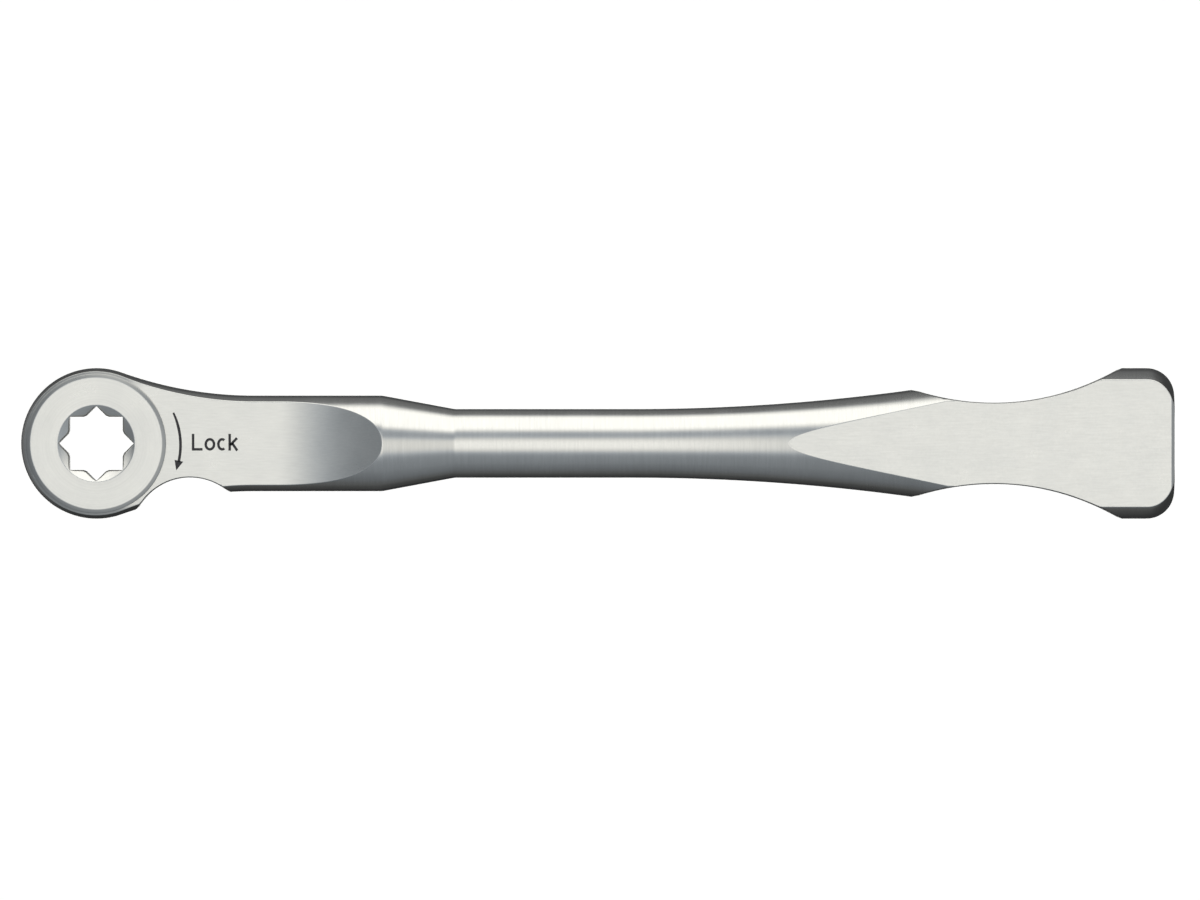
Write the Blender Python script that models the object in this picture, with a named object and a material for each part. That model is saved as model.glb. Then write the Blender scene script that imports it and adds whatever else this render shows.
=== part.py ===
"""Ratchet wrench that turns dental implant drivers, modelled at its real size in metres.

The handle is one turned and milled steel bar along X: a ball head at -X, a flat neck, a round rod
and a flat paddle at +X. A toothed wheel with an eight-pointed through socket turns in the head, and
a sprung pawl in a closed pocket of the neck lets it turn one way only.
The origin lies on the table under the middle of the wrench, +Z points to the marked front.
"""

import math

import bmesh
import bpy
from mathutils import Matrix, Vector

MM = 0.001

# Turned blank of the handle, lengths along X
BAR_RADIUS = 5.75 * MM
NECK_RADIUS = 3.65 * MM
HEAD_BLEND_RADIUS = 30.0 * MM
HEAD_TO_CONE = 21.82 * MM
CONE_LENGTH = 5.53 * MM
ROD_RADIUS = 2.62 * MM
ROD_LENGTH = 13.5 * MM
FLARE_LENGTH = 31.15 * MM
BAR_LENGTH = 10.25 * MM
END_CORNER_RADIUS = 2.1 * MM

# Milled flats and side cuts
NECK_HALF_THICKNESS = 1.80 * MM
NECK_RUNOUT_RADIUS = 18.0 * MM
PADDLE_HALF_THICKNESS = 3.08 * MM
END_CHAMFER = 0.25 * MM
WAIST_RADIUS = 19.0 * MM
WAIST_HALF_WIDTH = 3.10 * MM
WAIST_TO_END = 13.8 * MM
SCALLOP_RADIUS = 4.5 * MM
SCALLOP_FROM_HEAD = 7.15 * MM
SCALLOP_TOP_BELOW_AXIS = 2.6 * MM

# Ratchet wheel and what holds it in the head
BORE_RADIUS = 4.40 * MM
TURNING_GAP = 0.05 * MM
FACE_GAP = 0.04 * MM
FLANGE_OVERLAP = 0.93 * MM
FLANGE_PROUD = 0.40 * MM
FLANGE_CHAMFER = 0.25 * MM
TEETH = 24
TOOTH_DEPTH = 0.35 * MM
TOOTH_TIP_GAP = 0.10 * MM
TOOTH_TIP_SHARE = 0.1
TOOTH_BAND_HALF_HEIGHT = 1.0 * MM
HUB_RADIUS = 3.60 * MM
SNAP_RING_THICKNESS = 0.28 * MM
SNAP_RING_WIDTH = 0.70 * MM
SNAP_RING_OPENING = 40.0
SNAP_GROOVE_DEPTH = 0.25 * MM
SNAP_RING_BELOW_FACE = 0.22 * MM

# Eight-pointed socket for a 4 mm square drive
SOCKET_ACROSS_FLATS = 4.06 * MM
SOCKET_SQUARES = 2
SOCKET_PILOT_RADIUS = 2.25 * MM
SOCKET_COUNTERSINK_RADIUS = 2.93 * MM

# Pawl, its pin and its spring, seen from the front with the head centre as origin
POCKET_HALF_HEIGHT = 1.05 * MM
PAWL_SIDE_GAP = 0.10 * MM
PAWL_PIVOT_RADIUS_FROM_HEAD = 6.24 * MM
PAWL_PIVOT_ANGLE = 7.9
PAWL_EYE_RADIUS = 1.10 * MM
PAWL_EYE_START = -40.0
PAWL_EYE_END = 135.0
PAWL_NOSE_ANGLE = -25.0
PAWL_NOSE_PLAY = 2.4
PAWL_NOSE_SPAN = 9.0
PAWL_ROOT_GAP = 0.07 * MM
PAWL_TIP_GAP = 0.06 * MM
PAWL_NOSE_DEPTH = 1.0 * MM
PAWL_LIFT = 7.0
POCKET_EYE_START = -75.0
POCKET_EYE_END = 90.0
POCKET_MOUTH_BELOW_NOSE = 14.0
POCKET_MOUTH_ABOVE_PIVOT = 35.0
SPRING_SEAT_FROM_HEAD = 5.6 * MM
SPRING_SEAT_LENGTH = 1.45 * MM
SPRING_BELOW_AXIS = 1.15 * MM
PIN_RADIUS = 0.50 * MM
PIN_FIT_GAP = 0.02 * MM
PIN_LENGTH = 3.2 * MM
SPRING_OUTER_RADIUS = 0.65 * MM
SPRING_WIRE_RADIUS = 0.11 * MM
SPRING_LENGTH = 3.6 * MM
SPRING_TURNS = 7
SPRING_END_GAP = 0.05 * MM

# Facets of the round forms
BLANK_STEPS = 64
ROUND_STEPS = 96
SMALL_STEPS = 32
CUT_MARGIN = 1.0 * MM
SHARP_EDGE = math.radians(28.0)


# Places that follow from the driving dimensions
HEAD_TO_END = HEAD_TO_CONE + CONE_LENGTH + ROD_LENGTH + FLARE_LENGTH + BAR_LENGTH
END_X = (BAR_RADIUS + HEAD_TO_END) / 2
HEAD_X = END_X - HEAD_TO_END
AXIS_HEIGHT = NECK_RADIUS
CONE_START_X = HEAD_X + HEAD_TO_CONE
ROD_START_X = CONE_START_X + CONE_LENGTH
FLARE_START_X = ROD_START_X + ROD_LENGTH
TOOTH_TIP_RADIUS = BORE_RADIUS - TOOTH_TIP_GAP
TOOTH_ROOT_RADIUS = TOOTH_TIP_RADIUS - TOOTH_DEPTH
LAND_RADIUS = BORE_RADIUS - TURNING_GAP
FLANGE_RADIUS = BORE_RADIUS + FLANGE_OVERLAP
FLANGE_BOTTOM = NECK_HALF_THICKNESS + FACE_GAP
FLANGE_TOP = NECK_HALF_THICKNESS + FLANGE_PROUD
PAWL_HALF_HEIGHT = POCKET_HALF_HEIGHT - PAWL_SIDE_GAP


def polar(radius, degrees, centre=(0.0, 0.0)):
    """Point at a radius and an angle round a centre."""
    angle = math.radians(degrees)
    return (centre[0] + radius * math.cos(angle), centre[1] + radius * math.sin(angle))


def arc(centre, radius, start, end, steps):
    """Points of an arc from one angle to another, both ends included."""
    return [polar(radius, start + (end - start) * n / steps, centre) for n in range(steps + 1)]


def circle(radius, steps, centre=(0.0, 0.0)):
    """Points of a full circle, counter-clockwise."""
    return [polar(radius, 360.0 * n / steps, centre) for n in range(steps)]


def steel(name, colour, roughness):
    """Principled metal of one colour and roughness."""
    material = bpy.data.materials.new(name)
    material.use_nodes = True
    shader = material.node_tree.nodes["Principled BSDF"]
    shader.inputs["Base Color"].default_value = (*colour, 1.0)
    shader.inputs["Metallic"].default_value = 1.0
    shader.inputs["Roughness"].default_value = roughness
    return material


def add_empty(name, location, parent=None):
    """Empty that carries the pieces on one axis."""
    empty = bpy.data.objects.new(name, None)
    empty.location = location
    empty.parent = parent
    bpy.context.collection.objects.link(empty)
    return empty


def add_mesh(name, bm, parent, material=None):
    """Object from a finished bmesh, shaded smooth with its real edges kept sharp."""
    bmesh.ops.recalc_face_normals(bm, faces=bm.faces)
    mesh = bpy.data.meshes.new(name)
    bm.to_mesh(mesh)
    bm.free()
    mesh.shade_smooth()
    mesh.set_sharp_from_angle(angle=SHARP_EDGE)
    if material:
        mesh.materials.append(material)
    piece = bpy.data.objects.new(name, mesh)
    piece.parent = parent
    bpy.context.collection.objects.link(piece)
    return piece


def spin_profile(profile, axis, steps):
    """Bmesh of a profile of (place along the axis, radius) points turned about that axis."""
    bm = bmesh.new()
    across = Vector((0.0, 1.0, 0.0)) if axis.x else Vector((1.0, 0.0, 0.0))
    corners = [bm.verts.new(axis * along + across * radius) for along, radius in profile]
    edges = [bm.edges.new(pair) for pair in zip(corners, corners[1:])]
    bmesh.ops.spin(
        bm,
        geom=corners + edges,
        cent=(0.0, 0.0, 0.0),
        axis=axis,
        angle=2.0 * math.pi,
        steps=steps,
        use_merge=True,
    )
    bmesh.ops.remove_doubles(bm, verts=bm.verts, dist=1e-7)
    return bm


def extrude_outline(outline, low, high, upright=Matrix.Identity(4)):
    """Bmesh of a closed XY outline extruded from low to high, then turned by a matrix."""
    bm = bmesh.new()
    face = bm.faces.new([bm.verts.new((x, y, low)) for x, y in outline])
    raised = bmesh.ops.extrude_face_region(bm, geom=[face])
    tops = [item for item in raised["geom"] if isinstance(item, bmesh.types.BMVert)]
    bmesh.ops.translate(bm, verts=tops, vec=(0.0, 0.0, high - low))
    bmesh.ops.transform(bm, matrix=upright, verts=bm.verts)
    return bm


def join_bmeshes(parts):
    """One bmesh that holds several separate bodies."""
    whole = bmesh.new()
    for part in parts:
        mesh = bpy.data.meshes.new("joined")
        part.to_mesh(mesh)
        part.free()
        whole.from_mesh(mesh)
        bpy.data.meshes.remove(mesh)
    return whole


def add_cutter(name, bm, parent):
    """Tool shape that is left out of the finished model."""
    cutter = add_mesh(name, bm, parent)
    cutter.display_type = "WIRE"
    cutter.hide_render = True
    cutter.hide_viewport = False
    return cutter


def combine(piece, tool, operation="DIFFERENCE"):
    """Boolean modifier on a piece."""
    modifier = piece.modifiers.new(tool.name, "BOOLEAN")
    modifier.object = tool
    modifier.operation = operation
    modifier.solver = "EXACT"


def blank_profile():
    """Turned profile of the whole handle as (x, radius), from the ball head's pole to the end face."""
    to_centre = math.sqrt(
        (BAR_RADIUS + HEAD_BLEND_RADIUS) ** 2 - (NECK_RADIUS + HEAD_BLEND_RADIUS) ** 2
    )
    touch = math.degrees(math.atan2(NECK_RADIUS + HEAD_BLEND_RADIUS, to_centre))
    blend_centre = (HEAD_X + to_centre, NECK_RADIUS + HEAD_BLEND_RADIUS)
    profile = arc((HEAD_X, 0.0), BAR_RADIUS, 180.0, touch, 18)
    profile += arc(blend_centre, HEAD_BLEND_RADIUS, 180.0 + touch, 270.0, 7)[1:]
    profile += [(CONE_START_X, NECK_RADIUS), (ROD_START_X, ROD_RADIUS)]

    rise = BAR_RADIUS - ROD_RADIUS
    flare_radius = (FLARE_LENGTH**2 + rise**2) / (2.0 * rise)
    flare_centre = (FLARE_START_X, ROD_RADIUS + flare_radius)
    flare_turn = math.degrees(2.0 * math.atan2(rise, FLARE_LENGTH))
    profile += arc(flare_centre, flare_radius, 270.0, 270.0 + flare_turn, 12)

    corner_centre = (END_X - END_CORNER_RADIUS, BAR_RADIUS - END_CORNER_RADIUS)
    profile += arc(corner_centre, END_CORNER_RADIUS, 90.0, 0.0, 6)
    return [(profile[0][0], 0.0)] + profile[1:] + [(END_X, 0.0)]


def neck_flat_cutters():
    """Two tools that mill the neck and head flat and run out in an arc at the cone."""
    rise = NECK_RADIUS - NECK_HALF_THICKNESS
    run = math.sqrt(2.0 * NECK_RUNOUT_RADIUS * rise - rise**2)
    start = CONE_START_X - run
    centre = (start, NECK_HALF_THICKNESS + NECK_RUNOUT_RADIUS)
    over = rise + CUT_MARGIN
    turn = math.degrees(math.acos(1.0 - over / NECK_RUNOUT_RADIUS))
    outline = [(HEAD_X - BAR_RADIUS - CUT_MARGIN, NECK_HALF_THICKNESS)]
    outline += arc(centre, NECK_RUNOUT_RADIUS, 270.0, 270.0 + turn, 16)
    top = BAR_RADIUS + CUT_MARGIN
    outline += [(outline[-1][0], top), (outline[0][0], top)]
    return side_prisms(outline)


def paddle_flat_cutters():
    """Two tools that mill the paddle flat and bevel its end edge."""
    reach = END_CHAMFER + CUT_MARGIN
    top = BAR_RADIUS + CUT_MARGIN
    outline = [
        (FLARE_START_X, PADDLE_HALF_THICKNESS),
        (END_X - END_CHAMFER, PADDLE_HALF_THICKNESS),
        (END_X - END_CHAMFER + reach, PADDLE_HALF_THICKNESS - reach),
        (END_X - END_CHAMFER + reach, top),
        (FLARE_START_X, top),
    ]
    return side_prisms(outline)


def side_prisms(outline):
    """An XZ outline run across the bar's full width, on the front and mirrored on the back."""
    half = BAR_RADIUS + CUT_MARGIN
    front = extrude_outline(outline, -half, half, Matrix.Rotation(math.pi / 2, 4, "X"))
    mirrored = [(x, -z) for x, z in outline]
    back = extrude_outline(mirrored, -half, half, Matrix.Rotation(math.pi / 2, 4, "X"))
    return join_bmeshes([front, back])


def waist_cutters():
    """Two round tools that mill the paddle's waist, one on each side."""
    reach = WAIST_HALF_WIDTH + WAIST_RADIUS
    waist_x = END_X - WAIST_TO_END
    half = BAR_RADIUS + CUT_MARGIN
    sides = [
        extrude_outline(circle(WAIST_RADIUS, 160, (waist_x, side * reach)), -half, half)
        for side in (1.0, -1.0)
    ]
    return join_bmeshes(sides)


def pawl_pivot():
    """Place of the pawl's pin, measured from the head centre."""
    return polar(PAWL_PIVOT_RADIUS_FROM_HEAD, PAWL_PIVOT_ANGLE)


def pawl_outline():
    """Outline of the pawl, measured from the head centre."""
    nose_in = polar(TOOTH_ROOT_RADIUS + PAWL_ROOT_GAP, PAWL_NOSE_ANGLE)
    nose_out = polar(TOOTH_TIP_RADIUS + PAWL_TIP_GAP, PAWL_NOSE_ANGLE + PAWL_NOSE_SPAN)
    heel = polar(TOOTH_ROOT_RADIUS + PAWL_ROOT_GAP + PAWL_NOSE_DEPTH, PAWL_NOSE_ANGLE)
    seat_low = (SPRING_SEAT_FROM_HEAD, -SPRING_BELOW_AXIS - SPRING_SEAT_LENGTH / 2)
    seat_high = (SPRING_SEAT_FROM_HEAD, -SPRING_BELOW_AXIS + SPRING_SEAT_LENGTH / 2)
    rounded = arc(pawl_pivot(), PAWL_EYE_RADIUS, PAWL_EYE_START, PAWL_EYE_END, 16)
    return [nose_in, heel, seat_low, seat_high] + rounded + [nose_out]


def swung(point, degrees):
    """A point of the pawl after it has swung about its pin."""
    pivot = Vector(pawl_pivot())
    turned = Matrix.Rotation(math.radians(degrees), 2) @ (Vector(point) - pivot)
    return tuple(turned + pivot)


def pocket_outline():
    """Room for the pawl in the neck, open to the wheel's bore."""
    gap = PAWL_SIDE_GAP
    eye = PAWL_EYE_RADIUS + gap
    heel, seat_low, seat_high = (swung(p, PAWL_LIFT) for p in pawl_outline()[1:4])
    pivot = pawl_pivot()
    inside = BORE_RADIUS - TOOTH_DEPTH
    far_side = max(seat_low[0], seat_high[0]) + gap
    outline = [
        polar(inside, PAWL_NOSE_ANGLE - POCKET_MOUTH_BELOW_NOSE),
        (heel[0] + gap / 2, heel[1] - gap),
        (far_side, seat_low[1] - gap / 2),
        (far_side, pivot[1] - eye),
    ]
    outline += arc(pivot, eye, POCKET_EYE_START, POCKET_EYE_END, 14)
    outline.append(polar(inside, PAWL_PIVOT_ANGLE + POCKET_MOUTH_ABOVE_PIVOT))
    return outline


def star_outline():
    """Outline of the socket: squares turned evenly about one centre."""
    points = 4 * SOCKET_SQUARES
    step = 360.0 / points
    flat = SOCKET_ACROSS_FLATS / 2
    outer = flat / math.cos(math.radians(45.0))
    inner = flat / math.cos(math.radians(step / 2))
    outline = []
    for n in range(points):
        outline.append(polar(outer, n * step))
        outline.append(polar(inner, (n + 0.5) * step))
    return outline


def tooth_outline():
    """Saw teeth: each back rises counter-clockwise and ends in a radial face that the pawl stops."""
    pitch = 360.0 / TEETH
    face_angle = PAWL_NOSE_ANGLE - PAWL_NOSE_PLAY
    outline = []
    for n in range(TEETH):
        start = face_angle + n * pitch
        outline.append(polar(TOOTH_ROOT_RADIUS, start))
        outline.append(polar(TOOTH_TIP_RADIUS, start + pitch * (1.0 - TOOTH_TIP_SHARE)))
        outline.append(polar(TOOTH_TIP_RADIUS, start + pitch))
    return outline


def make_body(frame, head, material):
    """The one-piece handle with its head: a turned blank, then every milled cut."""
    along_x = Vector((1.0, 0.0, 0.0))
    body = add_mesh("wrench_body", spin_profile(blank_profile(), along_x, BLANK_STEPS), frame, material)
    combine(body, add_cutter("cut_neck_flats", neck_flat_cutters(), frame))
    combine(body, add_cutter("cut_paddle_flats", paddle_flat_cutters(), frame))
    combine(body, add_cutter("cut_waist", waist_cutters(), frame))

    through = BAR_RADIUS + CUT_MARGIN
    scallop_centre = (SCALLOP_FROM_HEAD, -SCALLOP_TOP_BELOW_AXIS - SCALLOP_RADIUS)
    scallop = extrude_outline(circle(SCALLOP_RADIUS, 72, scallop_centre), -through, through)
    combine(body, add_cutter("cut_scallop", scallop, head))
    bore = extrude_outline(circle(BORE_RADIUS, ROUND_STEPS), -through, through)
    combine(body, add_cutter("cut_wheel_bore", bore, head))

    pocket = extrude_outline(pocket_outline(), -POCKET_HALF_HEIGHT, POCKET_HALF_HEIGHT)
    combine(body, add_cutter("cut_pawl_pocket", pocket, head))
    hole_end = SPRING_SEAT_FROM_HEAD + SPRING_LENGTH + 2.0 * SPRING_END_GAP
    hole_radius = SPRING_OUTER_RADIUS + PAWL_SIDE_GAP
    hole_profile = [
        (SPRING_SEAT_FROM_HEAD, 0.0),
        (SPRING_SEAT_FROM_HEAD, hole_radius),
        (hole_end, hole_radius),
        (hole_end, 0.0),
    ]
    spring_hole = spin_profile(hole_profile, along_x, SMALL_STEPS)
    bmesh.ops.translate(spring_hole, verts=spring_hole.verts, vec=(0.0, -SPRING_BELOW_AXIS, 0.0))
    combine(body, add_cutter("cut_spring_hole", spring_hole, head))

    hole_top = -NECK_HALF_THICKNESS + PIN_LENGTH + PIN_FIT_GAP
    pin_hole = extrude_outline(circle(PIN_RADIUS + PIN_FIT_GAP, SMALL_STEPS, pawl_pivot()), -through, hole_top)
    combine(body, add_cutter("cut_pin_hole", pin_hole, head))
    return body


def make_wheel(head, material):
    """Ratchet wheel: front flange, bearing land, saw teeth and rear hub in one piece."""
    groove_low = snap_ring_low() - FACE_GAP
    groove_high = snap_ring_low() + SNAP_RING_THICKNESS + FACE_GAP
    core = [
        (-FLANGE_TOP, 0.0),
        (-FLANGE_TOP, HUB_RADIUS),
        (groove_low, HUB_RADIUS),
        (groove_low, HUB_RADIUS - SNAP_GROOVE_DEPTH),
        (groove_high, HUB_RADIUS - SNAP_GROOVE_DEPTH),
        (groove_high, HUB_RADIUS),
        (TOOTH_BAND_HALF_HEIGHT, HUB_RADIUS),
        (TOOTH_BAND_HALF_HEIGHT, LAND_RADIUS),
        (FLANGE_BOTTOM, LAND_RADIUS),
        (FLANGE_BOTTOM, FLANGE_RADIUS),
        (FLANGE_TOP - FLANGE_CHAMFER, FLANGE_RADIUS),
        (FLANGE_TOP, FLANGE_RADIUS - FLANGE_CHAMFER),
        (FLANGE_TOP, 0.0),
    ]
    along_z = Vector((0.0, 0.0, 1.0))
    wheel = add_mesh("ratchet_wheel", spin_profile(core, along_z, ROUND_STEPS), head, material)
    band_top = TOOTH_BAND_HALF_HEIGHT + TURNING_GAP
    teeth = extrude_outline(tooth_outline(), -TOOTH_BAND_HALF_HEIGHT, band_top)
    combine(wheel, add_cutter("tool_teeth", teeth, head), "UNION")

    through = FLANGE_TOP + CUT_MARGIN
    star = extrude_outline(star_outline(), -through, through)
    combine(wheel, add_cutter("cut_star_socket", star, head))
    pilot = extrude_outline(circle(SOCKET_PILOT_RADIUS, ROUND_STEPS), -through, through)
    combine(wheel, add_cutter("cut_socket_pilot", pilot, head))
    combine(wheel, add_cutter("cut_countersinks", countersinks(), head))
    return wheel


def countersinks():
    """Two 45 degree cones that open the socket at both faces."""
    wide = SOCKET_COUNTERSINK_RADIUS + CUT_MARGIN
    cones = []
    for side in (1.0, -1.0):
        profile = [
            (side * (FLANGE_TOP - SOCKET_COUNTERSINK_RADIUS), 0.0),
            (side * (FLANGE_TOP + CUT_MARGIN), wide),
            (side * (FLANGE_TOP + CUT_MARGIN), 0.0),
        ]
        cones.append(spin_profile(profile, Vector((0.0, 0.0, 1.0)), ROUND_STEPS))
    for cone in cones:
        bmesh.ops.recalc_face_normals(cone, faces=cone.faces)
    return join_bmeshes(cones)


def snap_ring_low():
    """Underside of the snap ring, measured from the mid-plane of the head."""
    return -FLANGE_TOP + SNAP_RING_BELOW_FACE


def make_rear_flange(head, material):
    """Loose collar that closes the head from behind and is carried by the wheel's hub."""
    recess_floor = snap_ring_low() + SNAP_RING_THICKNESS + FACE_GAP
    recess_radius = snap_ring_inner() + SNAP_RING_WIDTH + TURNING_GAP
    bore = HUB_RADIUS + TURNING_GAP
    profile = [
        (-FLANGE_TOP, recess_radius),
        (-FLANGE_TOP, FLANGE_RADIUS - FLANGE_CHAMFER),
        (-FLANGE_TOP + FLANGE_CHAMFER, FLANGE_RADIUS),
        (-FLANGE_BOTTOM, FLANGE_RADIUS),
        (-FLANGE_BOTTOM, LAND_RADIUS),
        (-TOOTH_BAND_HALF_HEIGHT - FACE_GAP, LAND_RADIUS),
        (-TOOTH_BAND_HALF_HEIGHT - FACE_GAP, bore),
        (recess_floor, bore),
        (recess_floor, recess_radius),
        (-FLANGE_TOP, recess_radius),
    ]
    ring = spin_profile(profile, Vector((0.0, 0.0, 1.0)), ROUND_STEPS)
    return add_mesh("rear_flange", ring, head, material)


def snap_ring_inner():
    """Inner radius of the snap ring where it sits in the hub's groove."""
    return HUB_RADIUS - SNAP_GROOVE_DEPTH + TURNING_GAP


def make_snap_ring(head, material):
    """Open spring ring in the hub's groove that holds the rear flange."""
    half_gap = SNAP_RING_OPENING / 2
    inner = snap_ring_inner()
    outline = arc((0.0, 0.0), inner + SNAP_RING_WIDTH, half_gap, 360.0 - half_gap, 72)
    outline += arc((0.0, 0.0), inner, 360.0 - half_gap, half_gap, 72)
    low = snap_ring_low()
    ring = extrude_outline(outline, low, low + SNAP_RING_THICKNESS)
    return add_mesh("snap_ring", ring, head, material)


def make_pawl(pivot_frame, material):
    """Flat pawl with its nose between two teeth, bored for its pin."""
    pivot = Vector((*pawl_pivot(), 0.0))
    bm = extrude_outline(pawl_outline(), -PAWL_HALF_HEIGHT, PAWL_HALF_HEIGHT)
    bmesh.ops.translate(bm, verts=bm.verts, vec=-pivot)
    pawl = add_mesh("pawl", bm, pivot_frame, material)
    hole = circle(PIN_RADIUS + TURNING_GAP, SMALL_STEPS)
    cutter = extrude_outline(hole, -PAWL_HALF_HEIGHT - CUT_MARGIN, PAWL_HALF_HEIGHT + CUT_MARGIN)
    combine(pawl, add_cutter("cut_pawl_eye", cutter, pivot_frame))
    return pawl


def make_pin(pivot_frame, material):
    """Pin pressed in from the back, its end flush with the flat."""
    low = -NECK_HALF_THICKNESS
    pin = extrude_outline(circle(PIN_RADIUS, SMALL_STEPS), low, low + PIN_LENGTH)
    return add_mesh("pawl_pin", pin, pivot_frame, material)


def make_spring(head, material):
    """Compression spring between the pawl's seat and the end of its hole."""
    radius = SPRING_OUTER_RADIUS - SPRING_WIRE_RADIUS
    start = SPRING_SEAT_FROM_HEAD + SPRING_END_GAP + SPRING_WIRE_RADIUS
    travel = SPRING_LENGTH - 2.0 * SPRING_WIRE_RADIUS
    per_turn = 12
    count = SPRING_TURNS * per_turn
    curve = bpy.data.curves.new("pawl_spring", "CURVE")
    curve.dimensions = "3D"
    curve.bevel_depth = SPRING_WIRE_RADIUS
    curve.bevel_resolution = 1
    curve.use_fill_caps = True
    spline = curve.splines.new("POLY")
    spline.points.add(count)
    for n, point in enumerate(spline.points):
        y, z = polar(radius, 360.0 * n / per_turn)
        point.co = (start + travel * n / count, y - SPRING_BELOW_AXIS, z, 1.0)
    curve.materials.append(material)
    spring = bpy.data.objects.new("pawl_spring", curve)
    spring.parent = head
    bpy.context.collection.objects.link(spring)
    return spring


def main():
    for old in list(bpy.data.objects):
        bpy.data.objects.remove(old, do_unlink=True)

    satin = steel("satin_steel", (0.62, 0.61, 0.59), 0.32)
    ground = steel("ground_steel", (0.66, 0.65, 0.63), 0.38)
    hardened = steel("hardened_steel", (0.42, 0.41, 0.40), 0.30)
    spring_steel = steel("spring_steel", (0.50, 0.50, 0.49), 0.25)

    frame = add_empty("turned_axis", (0.0, 0.0, AXIS_HEIGHT))
    head = add_empty("wheel_axis", (HEAD_X, 0.0, 0.0), frame)
    pivot_frame = add_empty("pawl_axis", (*pawl_pivot(), 0.0), head)

    make_body(frame, head, satin)
    make_wheel(head, ground)
    make_rear_flange(head, ground)
    make_snap_ring(head, spring_steel)
    make_pawl(pivot_frame, hardened)
    make_pin(pivot_frame, hardened)
    make_spring(head, spring_steel)


main()
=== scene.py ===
"""Looks of the dental ratchet wrench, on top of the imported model.

The handle is rebuilt as a fine loft about the bar's axis with small edge breaks, and every surface
gets a procedural steel. Lengths in the shape code are millimetres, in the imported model's own frame.
"""

import math

import bmesh
import bpy
import numpy as np
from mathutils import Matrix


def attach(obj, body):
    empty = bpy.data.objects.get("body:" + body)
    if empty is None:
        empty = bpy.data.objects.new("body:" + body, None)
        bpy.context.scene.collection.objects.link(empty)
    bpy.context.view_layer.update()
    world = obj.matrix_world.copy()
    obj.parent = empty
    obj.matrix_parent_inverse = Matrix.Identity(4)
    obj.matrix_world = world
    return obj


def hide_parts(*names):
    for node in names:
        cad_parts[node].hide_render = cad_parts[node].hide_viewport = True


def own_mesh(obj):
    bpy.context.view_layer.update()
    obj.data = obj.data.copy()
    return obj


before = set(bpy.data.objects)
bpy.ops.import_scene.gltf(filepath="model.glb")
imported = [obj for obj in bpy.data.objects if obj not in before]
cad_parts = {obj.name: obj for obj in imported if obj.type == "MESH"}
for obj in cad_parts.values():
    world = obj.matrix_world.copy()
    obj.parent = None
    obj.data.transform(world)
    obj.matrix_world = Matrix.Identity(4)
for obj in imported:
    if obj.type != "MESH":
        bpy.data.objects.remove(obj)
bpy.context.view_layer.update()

MM = 0.001

# Turned blank, as in the CAD
BAR_RADIUS = 5.75
NECK_RADIUS = 3.65
ROD_RADIUS = 2.62
BLEND_RADIUS = 30.0
CORNER_RADIUS = 2.1
END_X = 44.0
HEAD_X = -38.25
CONE_X = HEAD_X + 21.82
ROD_X = CONE_X + 5.53
FLARE_X = ROD_X + 13.5
FLARE_LENGTH = 31.15
AXIS_HEIGHT = NECK_RADIUS

# Milled flats and side cuts, and the shallow cone round the wheel with the angles where it fades out; these
# angles also bound the painted shade on that cone
NECK_HALF = 1.80
DISH_RADIUS = 5.20
DISH_SLOPE = 18.0
DISH_FADE = (50.0, 75.0)
RUNOUT_RADIUS = 18.0
PADDLE_HALF = 3.08
END_CHAMFER = 0.25
WAIST_RADIUS = 19.0
WAIST_HALF = 3.10
WAIST_X = END_X - 13.8
SCALLOP_RADIUS = 4.5
SCALLOP_X = HEAD_X + 7.15
SCALLOP_Y = -2.6 - SCALLOP_RADIUS

# Wheel and the rooms inside the head; the face and rim slope are read from the photograph
BORE_RADIUS = 4.40
FLANGE_TOP = 2.20
FLANGE_RADIUS = 5.33
FACE_RADIUS = 5.02
RIM_SLOPE = 18.0
LAND_RADIUS = 4.35
HUB_RADIUS = 3.60
TEETH = 24
TOOTH_ROOT = 3.95
TOOTH_TIP = 4.30
TOOTH_FACE_ANGLE = -27.4
STAR_POINT = 2.871
STAR_CORNER = 2.197
PILOT_RADIUS = 2.25
TEETH_HALF = 1.0
FLANGE_FOOT = 1.84
GROOVE_RADIUS = 3.35
GROOVE_LOW = -2.02
GROOVE_HIGH = -1.66
COLLAR_BORE = 3.65
COLLAR_TOP = -1.04
COLLAR_RECESS = 4.15
WHEEL_BREAK = 0.05
SINK_RADIUS = 2.93
SINK_SLOPE = 35.0
SINK_BREAK = 0.06
SOCKET_BREAK = 0.18
RIM_DROP = (FLANGE_RADIUS - FACE_RADIUS) * math.tan(math.radians(RIM_SLOPE))

# Pocket of the pawl and holes of its spring and pin, as in the CAD, in reach and angle about the wheel
PIVOT_REACH = 6.24
PIVOT_TURN = 7.9
PAWL_SWING = 7.0
HEEL_REACH = BORE_RADIUS + 0.62
HEEL_TURN = -25.0
SEAT_X = HEAD_X + 5.6
SEAT_HALF = 0.725
SEAT_GAP = 0.10
MOUTH_RADIUS = BORE_RADIUS - 0.35
MOUTH_TURNS = (-39.0, 42.9)
KNUCKLE_ROOM = 1.20
POCKET_HALF = 1.05
SPRING_Y = -1.15
SPRING_ROOM_RADIUS = 0.75
SPRING_ROOM_LENGTH = 3.7
PIN_ROOM_RADIUS = 0.52
PIN_ROOM_TOP = 1.42
PAST_ALL = 8.0

# Size of the broken edges, finer round the ball head, and the steep bevel along the side walls
EDGE_BREAK = 0.05
HEAD_EDGE_BREAK = 0.02
TURNED_BREAK = 0.10
CHAMFER_BREAK = 0.02
WALL_BEVEL = 0.07
WALL_BEVEL_ANGLE = 66.0

# Fineness of the loft: halvings of a search, a radius past the whole bar, and the fine zone at an edge
HALVINGS = 34
PAST_RADIUS = 8.0
FINE_ZONE = 0.09
MOST_FINE_TURN = 0.1

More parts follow.
